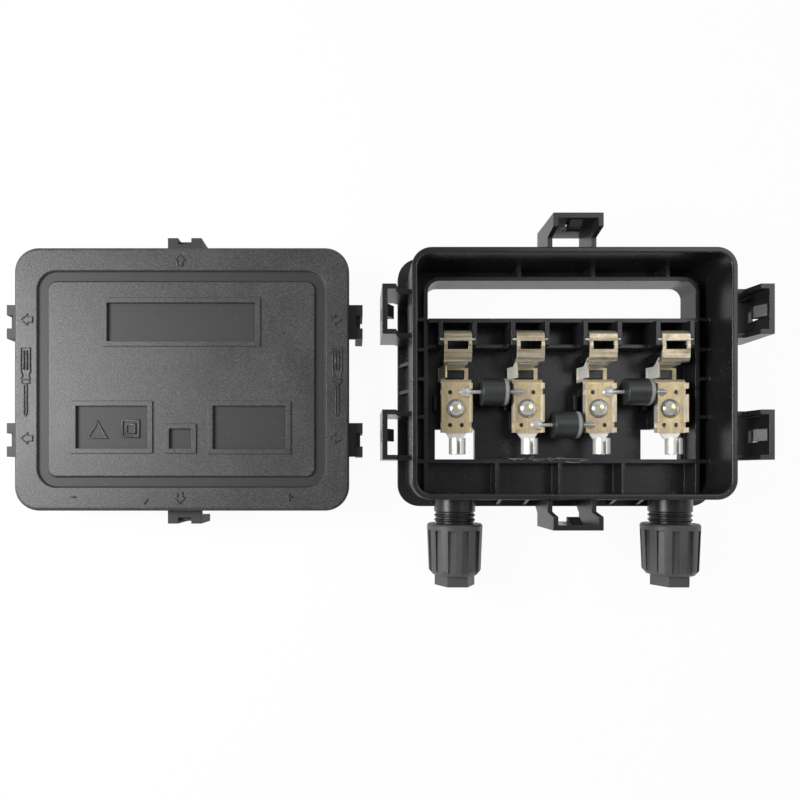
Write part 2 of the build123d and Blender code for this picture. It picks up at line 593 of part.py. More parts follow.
# ================================================================ glands
def gland_nut():
    """Fluted cap nut with a hexagon tip, made along +Z; z = 0 is the rim's outer face."""
    start = NUT_START
    shoulder = start + NUT_BODY
    end = shoulder + NUT_TIP
    wide = NUT_DIAMETER / 2
    narrow = wide - NUT_TAPER
    outline = [
        (0, start), (wide - 0.4, start), (wide, start + 0.6),
        (narrow, shoulder - 1.5), (narrow - 1.2, shoulder), (0, shoulder),
    ]
    nut = revolve(make_face(Plane.XZ * Polyline(*outline, close=True)), Axis.Z)
    flute_root = wide - FLUTE_DEPTH - NUT_TAPER / 2
    flute = slab(flute_root, wide + 2, -FLUTE_WIDTH / 2, FLUTE_WIDTH / 2, start + 2.0, end)
    for step in range(NUT_FLUTES):
        nut -= Rot(0, 0, (step + 0.5) * 360 / NUT_FLUTES) * flute
    tip = extrude(Pos(0, 0, shoulder - 1) * RegularPolygon(NUT_HEX / 2, 6, major_radius=False), NUT_TIP + 1)
    nut += tip
    thread_bore = THREAD_DIAMETER / 2 + THREAD_GAP
    cone_start = shoulder - NUT_CONE_INSET
    bore = [
        (0, start - 1), (thread_bore, start - 1), (thread_bore, cone_start),
        (NUT_EXIT_BORE / 2, cone_start + NUT_CONE), (NUT_EXIT_BORE / 2, end + 1), (0, end + 1),
    ]
    return nut - revolve(make_face(Plane.XZ * Polyline(*bore, close=True)), Axis.Z)


def gland_claw():
    """Clamping insert with spring fingers: it slides in the spout and follows the nut."""
    radius = SPOUT_BORE / 2 - CLAW_GAP
    start = SPOUT_SEAT + NUT_TRAVEL_IN + CLAW_SEAT_GAP
    collar_start = SPOUT_LENGTH + NUT_TRAVEL_IN + CLAW_SEAT_GAP
    collar_end = collar_start + CLAW_COLLAR_LENGTH
    end = collar_end + CLAW_FINGER_LENGTH
    finger = NUT_EXIT_BORE / 2 + 0.6
    outline = [
        (radius - CLAW_WALL, start), (radius, start), (radius, collar_start),
        (CLAW_COLLAR / 2, collar_start), (CLAW_COLLAR / 2, collar_end),
        (radius, collar_end), (finger, end - 1.2), (finger - 0.6, end), (radius - CLAW_WALL - 0.4, end),
        (radius - CLAW_WALL, collar_end),
    ]
    claw = revolve(make_face(Plane.XZ * Polyline(*outline, close=True)), Axis.Z)
    slot = slab(0, NUT_DIAMETER, -CLAW_SLOT_WIDTH / 2, CLAW_SLOT_WIDTH / 2, collar_end + 0.3, end + 1)
    for step in range(CLAW_SLOTS):
        claw -= Rot(0, 0, step * 360 / CLAW_SLOTS) * slot
    return claw


def gland_seal():
    """Rubber sleeve inside the claw, with a bore for the cable."""
    radius = SPOUT_BORE / 2 - CLAW_GAP - CLAW_WALL - SEAL_GAP
    start = SPOUT_SEAT + NUT_TRAVEL_IN + CLAW_SEAT_GAP
    return rod(2 * radius, start, start + SEAL_LENGTH) - rod(SEAL_BORE, start, start + SEAL_LENGTH)


# ================================================================ lid
def lid_tongue(edge):
    """One tongue that hangs into a latch loop: made along +X, with the lid's skirt at x = edge."""
    loop_bar = RIM_LENGTH / 2 + LATCH_REACH - LATCH_BAR - LID_LENGTH / 2
    outer = edge + loop_bar - TONGUE_GAP
    top = LID_HEIGHT - TONGUE_DROP
    half = TONGUE_WIDTH / 2
    tongue = slab(outer - TONGUE_THICKNESS, outer, -half, half, 0, top)
    tongue += slab(edge - LID_SKIRT_WALL / 2, outer, -half, half, LID_HEIGHT - LID_SKIRT_HEIGHT, top)
    recess = LATCH_WINDOW_WIDTH / 2 + 0.2
    tongue -= slab(outer - TONGUE_RECESS, outer + 1, -recess, recess, -1, top + 1)
    catch = TOOTH_CATCH_Z - LID_CLOSED_RISE - TOOTH_CLEARANCE
    reach = TOOTH_REACH - TONGUE_GAP + TOOTH_CLEARANCE
    tongue -= slab(outer - reach, outer + 1, -recess, recess, catch, top + 1)
    return tongue


def lid():
    """Lid moulding, lying as it does off the box: on its tongues, with its face up."""
    top = LID_HEIGHT
    low = top - LID_SKIRT_HEIGHT
    underside = top - LID_TOP
    shell = rounded_slab(LID_LENGTH, LID_WIDTH, LID_CORNER, low, top)
    shell = fillet(shell.edges().group_by(Axis.Z)[-1], LID_EDGE_ROUND)
    hollow = rounded_slab(
        LID_LENGTH - 2 * LID_SKIRT_WALL, LID_WIDTH - 2 * LID_SKIRT_WALL, LID_CORNER - LID_SKIRT_WALL,
        low, underside,
    )
    shell -= hollow

    # Plug wall that enters the rim.
    plug_length = RIM_LENGTH - 2 * RIM_WALL - 2 * LID_PLUG_GAP
    plug_width = RIM_WIDTH - 2 * RIM_WALL - 2 * LID_PLUG_GAP
    plug_corner = RIM_CORNER - RIM_WALL - LID_PLUG_GAP
    plug = rounded_slab(plug_length, plug_width, plug_corner, underside - LID_PLUG_DEPTH, underside)
    plug -= rounded_slab(
        plug_length - 2 * LID_PLUG_WALL, plug_width - 2 * LID_PLUG_WALL, plug_corner - LID_PLUG_WALL,
        underside - LID_PLUG_DEPTH, underside,
    )
    shell += plug

    # Groove that runs round the face.
    groove_length = LID_LENGTH - 2 * GROOVE_INSET
    groove_width = LID_WIDTH - 2 * GROOVE_INSET
    floor = Pos(0, 0, top - GROOVE_DEPTH)
    groove_floor = RectangleRounded(groove_length, groove_width, GROOVE_CORNER)
    groove = floor * extrude(groove_floor, GROOVE_DEPTH, taper=-GROOVE_SLOPE)
    trim = 2 * GROOVE_WIDTH
    island = RectangleRounded(groove_length - trim, groove_width - trim, GROOVE_CORNER - GROOVE_WIDTH)
    shell -= groove - floor * extrude(island, GROOVE_DEPTH, taper=GROOVE_SLOPE)

    # Framed panels on the face: a raised border round a sunk floor.
    for x, y, length, width in PANELS.values():
        shell += Pos(x, y, top) * extrude(Rectangle(length, width), PANEL_RISE)
        floor_outline = Rectangle(length - 2 * PANEL_BORDER, width - 2 * PANEL_BORDER)
        shell -= Pos(x, y, top - PANEL_SINK) * extrude(floor_outline, PANEL_RISE + PANEL_SINK)

    for side in (-1, 1):
        turn = 0 if side > 0 else 180
        for y in (LATCH_SIDE_Y, -LATCH_SIDE_Y):
            shell += Pos(0, y, 0) * Rot(0, 0, turn) * lid_tongue(LID_LENGTH / 2)
        shell += Rot(0, 0, side * 90) * lid_tongue(LID_WIDTH / 2)
    return Pos(LID_X, LID_SHIFT_Y, 0) * shell


def lid_seal():
    """Rubber ring under the lid's face, which the rim presses into when the lid is shut."""
    underside = LID_HEIGHT - LID_TOP
    gap = underside + LID_CLOSED_RISE - RIM_HEIGHT
    low = underside - gap - LID_SEAL_SQUEEZE
    length = RIM_LENGTH + LID_SEAL_WIDTH - RIM_WALL
    width = RIM_WIDTH + LID_SEAL_WIDTH - RIM_WALL
    corner = RIM_CORNER + (LID_SEAL_WIDTH - RIM_WALL) / 2
    ring = rounded_slab(length, width, corner, low, underside)
    trim = 2 * LID_SEAL_WIDTH
    ring -= rounded_slab(length - trim, width - trim, corner - LID_SEAL_WIDTH, low, underside)
    return Pos(LID_X, LID_SHIFT_Y, 0) * ring


# ================================================================ the finished part
def write(shape, node):
    """Writes one node's STEP file."""
    export_step(shape, "parts/" + node + ".step")


write(base_housing(), "base_housing")
write(lid(), "lid")
write(lid_seal(), "lid_seal")

plate = terminal_plate()
rivet = terminal_rivet()
clip = ribbon_clip()
pin = pin_rod(PIN_DIAMETER)
for number, terminal_x in enumerate(TERMINAL_X, start=1):
    place = Pos(terminal_x, TERMINAL_Y, 0)
    write(place * plate, f"terminal_plate_{number}")
    write(place * rivet, f"terminal_rivet_{number}")
    write(place * clip, f"ribbon_clip_{number}")
    write(place * pin, f"clip_pin_{number}")

terminal_row = Pos(0, TERMINAL_Y, 0)
solder_joints = []
for number, row_y in enumerate((UPPER_HOLE_Y, LOWER_HOLE_Y, UPPER_HOLE_Y), start=1):
    diode_body, diode_leads, diode_solder = diode(number - 1, number, row_y, plate)
    write(terminal_row * diode_body, f"diode_body_{number}")
    write(terminal_row * Compound(diode_leads), f"diode_leads_{number}")
    solder_joints += diode_solder
write(terminal_row * Compound(solder_joints), "solder_joints")

for name, side in (("left", -1), ("right", 1)):
    axis_x = side * GLAND_X
    write(along_y(gland_nut(), axis_x, SPOUT_ROOT_Y, GLAND_Z), f"gland_nut_{name}")
    write(along_y(gland_claw(), axis_x, SPOUT_ROOT_Y, GLAND_Z), f"gland_claw_{name}")
    write(along_y(gland_seal(), axis_x, SPOUT_ROOT_Y, GLAND_Z), f"gland_seal_{name}")
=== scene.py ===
from random import Random

import bpy
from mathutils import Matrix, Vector


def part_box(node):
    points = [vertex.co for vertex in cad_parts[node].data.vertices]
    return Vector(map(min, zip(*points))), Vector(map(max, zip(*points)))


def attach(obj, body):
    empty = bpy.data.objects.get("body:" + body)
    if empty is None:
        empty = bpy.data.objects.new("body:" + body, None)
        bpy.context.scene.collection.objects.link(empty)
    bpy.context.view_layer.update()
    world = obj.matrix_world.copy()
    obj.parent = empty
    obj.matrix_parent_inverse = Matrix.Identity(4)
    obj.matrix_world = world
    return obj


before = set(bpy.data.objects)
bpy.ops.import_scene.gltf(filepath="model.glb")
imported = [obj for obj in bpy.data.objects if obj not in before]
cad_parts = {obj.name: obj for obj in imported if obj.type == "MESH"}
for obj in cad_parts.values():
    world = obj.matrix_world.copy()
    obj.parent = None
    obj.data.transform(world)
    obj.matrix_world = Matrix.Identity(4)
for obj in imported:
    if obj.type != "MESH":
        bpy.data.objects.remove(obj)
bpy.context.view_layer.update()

MM = 0.001


# ------------------------------------------------------------------ studio
# The box and its lid lie on a white table and are seen from straight above. A lamp stands low and
# near at the left, as a window would, with a weaker one across from it.
CAMERA_XY = (-70.6 * MM, -32.2 * MM)
CAMERA_HEIGHT = 215.0 * MM
LENS_MM = 27.2
SENSOR_MM = 36.0
SHIFT = (0.0575, 0.0925)
TABLE_SIZE = 6.0
TABLE_DROP = 0.2 * MM
TABLE_GLOW_SHARE = 0.95
LAMP_TARGET = (-0.08, 0.0, 0.0)
# Name, place in metres, width in metres and power in watts.
LAMPS = (
    ("window_light", (-0.34, 0.02, 0.22), 0.20, 1.45),
    ("room_light", (0.55, 0.30, 0.80), 0.7, 2.4),
)


def node(tree, kind, **inputs):
    """Adds a shader node and sets the inputs that are plain values."""
    made = tree.nodes.new(kind)
    for name, value in inputs.items():
        made.inputs[name.replace("_", " ")].default_value = value
    return made


def joined(tree, *pairs):
    """Links sockets two by two."""
    for source, target in pairs:
        tree.links.new(source, target)


def seen_directly(tree):
    """1 for rays that show the background: from the lens, off metal or through something clear."""
    path = node(tree, "ShaderNodeLightPath")
    either = node(tree, "ShaderNodeMath")
    either.operation = "MAXIMUM"
    both = node(tree, "ShaderNodeMath")
    both.operation = "MAXIMUM"
    joined(
        tree,
        (path.outputs["Is Camera Ray"], either.inputs[0]),
        (path.outputs["Is Glossy Ray"], either.inputs[1]),
        (either.outputs[0], both.inputs[0]),
        (path.outputs["Is Transmission Ray"], both.inputs[1]),
    )
    return both.outputs[0]


def table_material():
    """White table that keeps a faint shadow."""
    material = bpy.data.materials.new("white_table")
    material.use_nodes = True
    tree = material.node_tree
    tree.nodes.clear()
    paint = node(tree, "ShaderNodeBsdfDiffuse", Color=(0.80, 0.80, 0.80, 1))
    glow = node(tree, "ShaderNodeEmission", Color=(1, 1, 1, 1), Strength=1.0)
    share = node(tree, "ShaderNodeMath")
    share.operation = "MULTIPLY"
    share.inputs[1].default_value = TABLE_GLOW_SHARE
    mix = node(tree, "ShaderNodeMixShader")
    out = node(tree, "ShaderNodeOutputMaterial")
    joined(
        tree,
        (seen_directly(tree), share.inputs[0]),
        (share.outputs[0], mix.inputs[0]),
        (paint.outputs[0], mix.inputs[1]),
        (glow.outputs[0], mix.inputs[2]),
        (mix.outputs[0], out.inputs["Surface"]),
    )
    return material


def studio():
    """Table, world, lamps and camera."""
    scene = bpy.context.scene
    scene.view_settings.view_transform = "Standard"
    bpy.ops.mesh.primitive_plane_add(size=TABLE_SIZE, location=(0, 0, -TABLE_DROP))
    table = bpy.context.object
    table.name = "table"
    table.data.materials.append(table_material())

    world = bpy.data.worlds.new("studio")
    scene.world = world
    world.use_nodes = True
    tree = world.node_tree
    tree.nodes.clear()
    # Pale walls at eye level and a dark ceiling, which the glossy plastic and the metal reflect.
    height = node(tree, "ShaderNodeSeparateXYZ")
    room = node(tree, "ShaderNodeValToRGB")
    room.color_ramp.elements[0].position = 0.05
    room.color_ramp.elements[0].color = (0.95, 0.97, 1.0, 1)
    room.color_ramp.elements[1].position = 0.75
    room.color_ramp.elements[1].color = (0.24, 0.245, 0.25, 1)
    reflected = node(tree, "ShaderNodeBackground", Strength=1.0)
    fill = node(tree, "ShaderNodeBackground", Color=(0.93, 0.96, 1.0, 1), Strength=0.42)
    white = node(tree, "ShaderNodeBackground", Color=(1, 1, 1, 1), Strength=1.0)
    direct = node(tree, "ShaderNodeMixShader")
    mix = node(tree, "ShaderNodeMixShader")
    path = node(tree, "ShaderNodeLightPath")
    out = node(tree, "ShaderNodeOutputWorld")
    joined(
        tree,
        (node(tree, "ShaderNodeTexCoord").outputs["Generated"], height.inputs[0]),
        (height.outputs["Z"], room.inputs[0]),
        (room.outputs[0], reflected.inputs["Color"]),
        (seen_directly(tree), direct.inputs[0]),
        (fill.outputs[0], direct.inputs[1]),
        (reflected.outputs[0], direct.inputs[2]),
        (path.outputs["Is Camera Ray"], mix.inputs[0]),
        (direct.outputs[0], mix.inputs[1]),
        (white.outputs[0], mix.inputs[2]),
        (mix.outputs[0], out.inputs["Surface"]),
    )

    target = Vector(LAMP_TARGET)
    for name, place, size, power in LAMPS:
        data = bpy.data.lights.new(name, "AREA")
        data.shape = "DISK"
        data.size = size
        data.energy = power
        lamp = bpy.data.objects.new(name, data)
        scene.collection.objects.link(lamp)
        lamp.location = place
        lamp.rotation_euler = (target - Vector(place)).to_track_quat("-Z", "Y").to_euler()

    data = bpy.data.cameras.new("camera")
    data.lens = LENS_MM
    data.sensor_width = SENSOR_MM
    data.shift_x, data.shift_y = SHIFT
    camera = bpy.data.objects.new("camera", data)
    scene.collection.objects.link(camera)
    camera.location = (*CAMERA_XY, CAMERA_HEIGHT)
    scene.camera = camera


studio()


# ------------------------------------------------------------------ base housing
# The base is one injection moulding in black plastic: flange, rim, inner well, latch eyes and spouts.
# Its faces are fine-grained and half glossy, with a little dust in the corners, round ejector marks
# on the trough floor and a dry smear of sealant with a few whiskers on the bar above the glands.
GRAIN_BUMP = 0.6
SMOOTH_BUMP = 0.12
LEDGE_BLEND = 0.05
EDGE_SAMPLES = 4
DUST_PITCH = 2.6


def blended(tree, share, low, high):
    """Mixes two colours by a socket; either colour is a socket or a plain RGB value."""
    mix = node(tree, "ShaderNodeMix")
    mix.data_type = "RGBA"
    joined(tree, (share, mix.inputs[0]))
    for socket, value in ((mix.inputs[6], low), (mix.inputs[7], high)):
        if isinstance(value, tuple):
            socket.default_value = (*value, 1)
        else:
            joined(tree, (value, socket))
    return mix.outputs[2]


def ranged(tree, value, low, high, to_low=0.0, to_high=1.0):
    """Maps a socket's values from one range to another, held at the ends."""
    step = node(tree, "ShaderNodeMapRange", From_Min=low, From_Max=high, To_Min=to_low, To_Max=to_high)
    joined(tree, (value, step.inputs["Value"]))
    return step.outputs[0]


def spots(tree, place, pitch_mm, reach, soft):
    """1 in small round spots scattered about a pitch apart, 0 between them."""
    cells = node(tree, "ShaderNodeTexVoronoi", Scale=1.0 / (pitch_mm * MM))
    joined(tree, (place, cells.inputs["Vector"]))
    return ranged(tree, cells.outputs["Distance"], reach, reach + soft, 1.0, 0.0)


def plastic(name, dark, light, rough, grain_mm, grain_depth, edge_mm, dust=0.0, speckle=0.0, ledge=None):
    """Moulded plastic with a spark-eroded grain, faint flow clouds, dust and soft edges.

    ledge is (height in mm, share of the colour, roughness) for the polished faces below a height.
    """
    material = bpy.data.materials.new(name)
    material.use_nodes = True
    tree = material.node_tree
    shader = tree.nodes["Principled BSDF"]
    place = node(tree, "ShaderNodeTexCoord").outputs["Object"]

    cloud = node(tree, "ShaderNodeTexNoise", Scale=55.0, Detail=5.0, Roughness=0.6)
    joined(tree, (place, cloud.inputs["Vector"]))
    colour = blended(tree, ranged(tree, cloud.outputs["Fac"], 0.35, 0.70), dark, light)
    sheen = ranged(tree, cloud.outputs["Fac"], 0.3, 0.7, rough - 0.04, rough + 0.06)

    grain = node(tree, "ShaderNodeTexNoise", Scale=1.0 / (grain_mm * MM), Detail=3.0, Roughness=0.7)
    joined(tree, (place, grain.inputs["Vector"]))
    if speckle:
        pits = ranged(tree, grain.outputs["Fac"], 0.38, 0.66, 1.0 - speckle, 1.0 + speckle)
        level = node(tree, "ShaderNodeVectorMath")
        level.operation = "SCALE"
        joined(tree, (colour, level.inputs[0]), (pits, level.inputs["Scale"]))
        colour = level.outputs[0]
    bump = node(tree, "ShaderNodeBump", Strength=GRAIN_BUMP, Distance=grain_depth * MM)
    if ledge:
        ledge_height, ledge_share, ledge_rough = ledge
        height = node(tree, "ShaderNodeSeparateXYZ")
        joined(tree, (place, height.inputs[0]))
        low, high = (ledge_height - LEDGE_BLEND) * MM, (ledge_height + LEDGE_BLEND) * MM
        top = ranged(tree, height.outputs["Z"], low, high)
        colour = blended(tree, top, tuple(c * ledge_share for c in dark), colour)
        even = node(tree, "ShaderNodeMix")
        joined(tree, (top, even.inputs[0]), (sheen, even.inputs[3]))
        even.inputs[2].default_value = ledge_rough
        sheen = even.outputs[0]
        joined(tree, (ranged(tree, top, 0.0, 1.0, SMOOTH_BUMP, GRAIN_BUMP), bump.inputs["Strength"]))
    if dust:
        mote = spots(tree, place, DUST_PITCH, 0.03, 0.03)
        colour = blended(tree, mote, colour, (dust, dust, dust * 0.97))
    joined(tree, (colour, shader.inputs["Base Color"]), (sheen, shader.inputs["Roughness"]))

    joined(tree, (grain.outputs["Fac"], bump.inputs["Height"]), (bump.outputs[0], shader.inputs["Normal"]))
    if edge_mm:
        edge = node(tree, "ShaderNodeBevel", Radius=edge_mm * MM)
        edge.samples = EDGE_SAMPLES
        joined(tree, (edge.outputs[0], bump.inputs["Normal"]))
    return material


def dress(material, *names):
    """Gives CAD nodes their finish."""
    for name in names:
        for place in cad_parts[name].material_slots:
            place.link = "OBJECT"
            place.material = material


DISC_SIDES = 40
SHARPEST_COSINE = 0.4


def group_tree(name, values):
    """An empty Geometry Nodes tree with named inputs; returns it with its input and output nodes."""
    tree = bpy.data.node_groups.new(name, "GeometryNodeTree")
    tree.interface.new_socket("Geometry", in_out="INPUT", socket_type="NodeSocketGeometry")
    for label, value in values.items():
        socket = tree.interface.new_socket(label, in_out="INPUT", socket_type="NodeSocketFloat")
        socket.default_value = value
    tree.interface.new_socket("Material", in_out="INPUT", socket_type="NodeSocketMaterial")
    tree.interface.new_socket("Geometry", in_out="OUTPUT", socket_type="NodeSocketGeometry")
    return tree, tree.nodes.new("NodeGroupInput"), tree.nodes.new("NodeGroupOutput")


def finished(tree, realised, source, out):
    """Ends a Geometry Nodes tree: real geometry, then its material."""
    real = tree.nodes.new("GeometryNodeRealizeInstances")
    paint = tree.nodes.new("GeometryNodeSetMaterial")
    joined(
        tree,
        (realised, real.inputs[0]),
        (real.outputs[0], paint.inputs["Geometry"]),
        (source.outputs["Material"], paint.inputs["Material"]),
        (paint.outputs[0], out.inputs[0]),
    )


def raised_line_tree():
    """Raises a flat band of even width along each drawn line, mitred at its corners."""
    tree, source, out = group_tree("raised_line", {"Line width": 0.5 * MM, "Line height": 0.2 * MM})
    path = tree.nodes.new("GeometryNodeMeshToCurve")
    level = tree.nodes.new("GeometryNodeSetCurveNormal")
    level.mode = "Z_UP"
    # A corner's cut is longer than the line is wide, by one over the cosine of half its turn.
    here = tree.nodes.new("GeometryNodeInputPosition")
    after = tree.nodes.new("GeometryNodeOffsetPointInCurve")
    after.inputs["Offset"].default_value = 1
    there = tree.nodes.new("GeometryNodeFieldAtIndex")
    there.data_type = "FLOAT_VECTOR"
    heading = tree.nodes.new("ShaderNodeVectorMath")
    heading.operation = "SUBTRACT"
    unit = tree.nodes.new("ShaderNodeVectorMath")
    unit.operation = "NORMALIZE"
    cosine = tree.nodes.new("ShaderNodeVectorMath")
    cosine.operation = "DOT_PRODUCT"
    least = tree.nodes.new("ShaderNodeMath")
    least.operation = "MAXIMUM"
    least.inputs[1].default_value = SHARPEST_COSINE
    longer = tree.nodes.new("ShaderNodeMath")
    longer.operation = "DIVIDE"
    longer.inputs[0].default_value = 1.0
    corner = tree.nodes.new("GeometryNodeSetCurveRadius")
    ends = []
    for side in (-0.5, 0.5):
        half = tree.nodes.new("ShaderNodeMath")
        half.operation = "MULTIPLY"
        half.inputs[1].default_value = side
        end = tree.nodes.new("ShaderNodeCombineXYZ")
        joined(tree, (source.outputs["Line width"], half.inputs[0]), (half.outputs[0], end.inputs["X"]))
        ends.append(end.outputs[0])
    across = tree.nodes.new("GeometryNodeCurvePrimitiveLine")
    sweep = tree.nodes.new("GeometryNodeCurveToMesh")
    rise = tree.nodes.new("GeometryNodeExtrudeMesh")
    rise.inputs["Individual"].default_value = False
    rise.inputs["Offset"].default_value = (0, 0, 1)
    joined(
        tree,
        (source.outputs["Geometry"], path.inputs[0]),
        (path.outputs[0], level.inputs[0]),
        (after.outputs["Point Index"], there.inputs["Index"]),
        (here.outputs[0], there.inputs["Value"]),
        (there.outputs[0], heading.inputs[0]),
        (here.outputs[0], heading.inputs[1]),
        (heading.outputs[0], unit.inputs[0]),
        (unit.outputs[0], cosine.inputs[0]),
        (tree.nodes.new("GeometryNodeInputTangent").outputs[0], cosine.inputs[1]),
        (cosine.outputs["Value"], least.inputs[0]),
        (least.outputs[0], longer.inputs[1]),
        (level.outputs[0], corner.inputs[0]),
        (longer.outputs[0], corner.inputs["Radius"]),
        (ends[0], across.inputs["Start"]),
        (ends[1], across.inputs["End"]),
        (corner.outputs[0], sweep.inputs["Curve"]),
        (across.outputs[0], sweep.inputs["Profile Curve"]),
        (sweep.outputs[0], rise.inputs["Mesh"]),
        (source.outputs["Line height"], rise.inputs["Offset Scale"]),
    )
    finished(tree, rise.outputs["Mesh"], source, out)
    return tree


def disc_tree():
    """Stands a low round disc on every point."""
    tree, source, out = group_tree("disc_on_point", {"Disc radius": 1.75 * MM, "Disc height": 0.1 * MM})
    disc = tree.nodes.new("GeometryNodeMeshCylinder")
    disc.inputs["Vertices"].default_value = DISC_SIDES
    place = tree.nodes.new("GeometryNodeInstanceOnPoints")
    joined(
        tree,
        (source.outputs["Geometry"], place.inputs["Points"]),
        (source.outputs["Disc radius"], disc.inputs["Radius"]),
        (source.outputs["Disc height"], disc.inputs["Depth"]),
        (disc.outputs["Mesh"], place.inputs["Instance"]),
    )
    finished(tree, place.outputs[0], source, out)
    return tree


def grown(name, points, edges, tree, body, material, **values):
    """Makes a finished piece from a drawing of points and edges with a Geometry Nodes tree."""
    drawing = bpy.data.meshes.new(name)
    drawing.from_pydata(points, edges, [])
    piece = bpy.data.objects.new(name, drawing)
    bpy.context.scene.collection.objects.link(piece)
    modifier = piece.modifiers.new(name, "NODES")
    modifier.node_group = tree
    sockets = {item.name: item.identifier for item in tree.interface.items_tree if item.in_out == "INPUT"}
    modifier[sockets["Material"]] = material
    for label, value in values.items():
        modifier[sockets[label.replace("_", " ")]] = value
    bpy.context.view_layer.update()
    solid = bpy.data.meshes.new_from_object(piece.evaluated_get(bpy.context.evaluated_depsgraph_get()))
    piece.modifiers.remove(modifier)
    piece.data = solid
    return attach(piece, body)


RAISED_LINE = raised_line_tree()
DISC = disc_tree()
HOUSING = plastic(
    "housing_black", (0.010, 0.010, 0.011), (0.017, 0.017, 0.019), 0.27, 0.22, 0.03, 0.35, dust=0.24
)
dress(HOUSING, "base_housing")

TROUGH_FLOOR = 2.5
EJECTOR_RISE = 0.03
EJECTOR_XY = ((-14.0, -33.6), (17.7, -33.6), (-40.0, -33.0), (40.6, -33.0))
ejector_points = [(x * MM, y * MM, (TROUGH_FLOOR + EJECTOR_RISE) * MM) for x, y in EJECTOR_XY]
grown("ejector_marks", ejector_points, [], DISC, "housing", HOUSING)

SEALANT = plastic("dry_sealant", (0.15, 0.15, 0.14), (0.30, 0.30, 0.28), 0.5, 0.4, 0.03, 0)
chance = Random(7)
BAR_TOP = 9.5
WHISKERS = 12
strands = [
    [(-17.9, -27.0), (-9.0, -27.1), (0.0, -27.0), (9.7, -27.1)],
    [(1.5, -28.0), (4.0, -28.4), (6.5, -28.1)],
]
for _ in range(WHISKERS):
    x = chance.uniform(-17.5, 7.0)
    y = chance.uniform(-27.6, -26.9)
    long = chance.uniform(1.0, 3.4)
    lift = chance.uniform(-0.3, 1.2)
    strands.append([(x, y), (x + long / 2, y + lift * 0.7), (x + long, y + lift)])
strand_points, strand_edges = [], []
for strand in strands:
    first = len(strand_points)
    strand_points += [(x * MM, y * MM, BAR_TOP * MM) for x, y in strand]
    strand_edges += [(first + n, first + n + 1) for n in range(len(strand) - 1)]
grown(
    "sealant_whiskers", strand_points, strand_edges, RAISED_LINE, "housing", SEALANT,
    Line_width=0.22 * MM, Line_height=0.10 * MM,
)


# ------------------------------------------------------------------ lid
# The lid is a second moulding in the same plastic. Its face has a coarse spark-eroded grain; the
# groove, the sunk panels and the skirt are smoother. Raised signs stand on it: an arrow at each
# tongue, a screwdriver at each end, polarity signs, and the marks for class II and safe handling.
LID = plastic(
    "lid_black", (0.034, 0.034, 0.033), (0.050, 0.050, 0.048), 0.45, 0.48, 0.13, 0.35,
    dust=0.20, speckle=0.55, ledge=(15.95, 0.60, 0.62),
)
dress(LID, "lid")
LID_CENTRE = (-127.4, -0.95)
LID_FACE = 16.2
PANEL_FLOOR = 15.7
SUNK = 0.02


def closed(*corners):
    """A drawing of one closed outline."""
    count = len(corners)
    return [(corners, [(n, (n + 1) % count) for n in range(count)])]


def stroke(*corners):
    """A drawing of one open line."""
    return [(corners, [(n, n + 1) for n in range(len(corners) - 1)])]


def relief(name, marks, height, width, rise):
    """One raised piece from (drawing, centre, turn) marks; turn is where a drawing's own X points."""
    points, edges = [], []
    for drawing, centre, turn in marks:
        for corners, pairs in drawing:
            edges += [(a + len(points), b + len(points)) for a, b in pairs]
            for x, y in corners:
                u = LID_CENTRE[0] + centre[0] + x * turn[0] - y * turn[1]
                v = LID_CENTRE[1] + centre[1] + x * turn[1] + y * turn[0]
                points.append((u * MM, v * MM, (height - SUNK) * MM))
    return grown(
        name, points, edges, RAISED_LINE, "lid_body", LID,
        Line_width=width * MM, Line_height=(rise + SUNK) * MM,
    )


ARROW = closed((-1.8, -0.9), (-0.2, -0.9), (-0.2, -1.8), (1.9, 0), (-0.2, 1.8), (-0.2, 0.9), (-1.8, 0.9))
relief(
    "lid_arrows",
    [
        (ARROW, (50.7, 19.5), (1, 0)), (ARROW, (50.7, -19.5), (1, 0)),
        (ARROW, (-50.8, 19.5), (-1, 0)), (ARROW, (-50.8, -19.5), (-1, 0)),
        (ARROW, (-0.5, 39.1), (0, 1)), (ARROW, (-0.5, -39.1), (0, -1)),
    ],
    LID_FACE, 0.46, 0.30,
)
HANDLE = closed(
    (-1.5, 10.2), (1.5, 10.2), (1.5, 2.4), (1.0, 1.2), (1.5, 0.0), (-1.5, 0.0), (-1.0, 1.2), (-1.5, 2.4)
)
GRIP = stroke((-0.5, 9.4), (-0.5, 3.0)) + stroke((0.5, 9.4), (0.5, 3.0))
FERRULE = closed((-1.3, -0.4), (1.3, -0.4), (1.3, -1.5), (-1.3, -1.5))
BLADE = closed((-0.45, -1.9), (0.45, -1.9), (0.45, -11.2), (0.0, -12.2), (-0.45, -11.2))
SCREWDRIVER = HANDLE + GRIP + FERRULE + BLADE
relief(
    "lid_screwdrivers",
    [(SCREWDRIVER, (51.2, 0), (1, 0)), (SCREWDRIVER, (-51.2, 0), (1, 0))],
    LID_FACE, 0.40, 0.30,
)
MINUS = stroke((-1.0, 0), (1.0, 0))
PLUS = stroke((-1.3, 0), (1.3, 0)) + stroke((0, 0.25), (0, 1.3)) + stroke((0, -0.25), (0, -1.3))
SLASH = stroke((-0.7, -0.8), (0.7, 0.8))
relief(
    "lid_polarity_signs",
    [(MINUS, (-35.7, -38.8), (1, 0)), (PLUS, (35.4, -38.8), (1, 0)), (SLASH, (-11.7, -40.3), (1, 0))],
    LID_FACE, 0.55, 0.28,
)
TRIANGLE = closed((-3.1, -2.6), (3.1, -2.6), (0, 2.8))
SQUARES = closed((-2.75, -2.75), (2.75, -2.75), (2.75, 2.75), (-2.75, 2.75))
INNER_SQUARE = closed((-1.45, -1.45), (1.45, -1.45), (1.45, 1.45), (-1.45, 1.45))
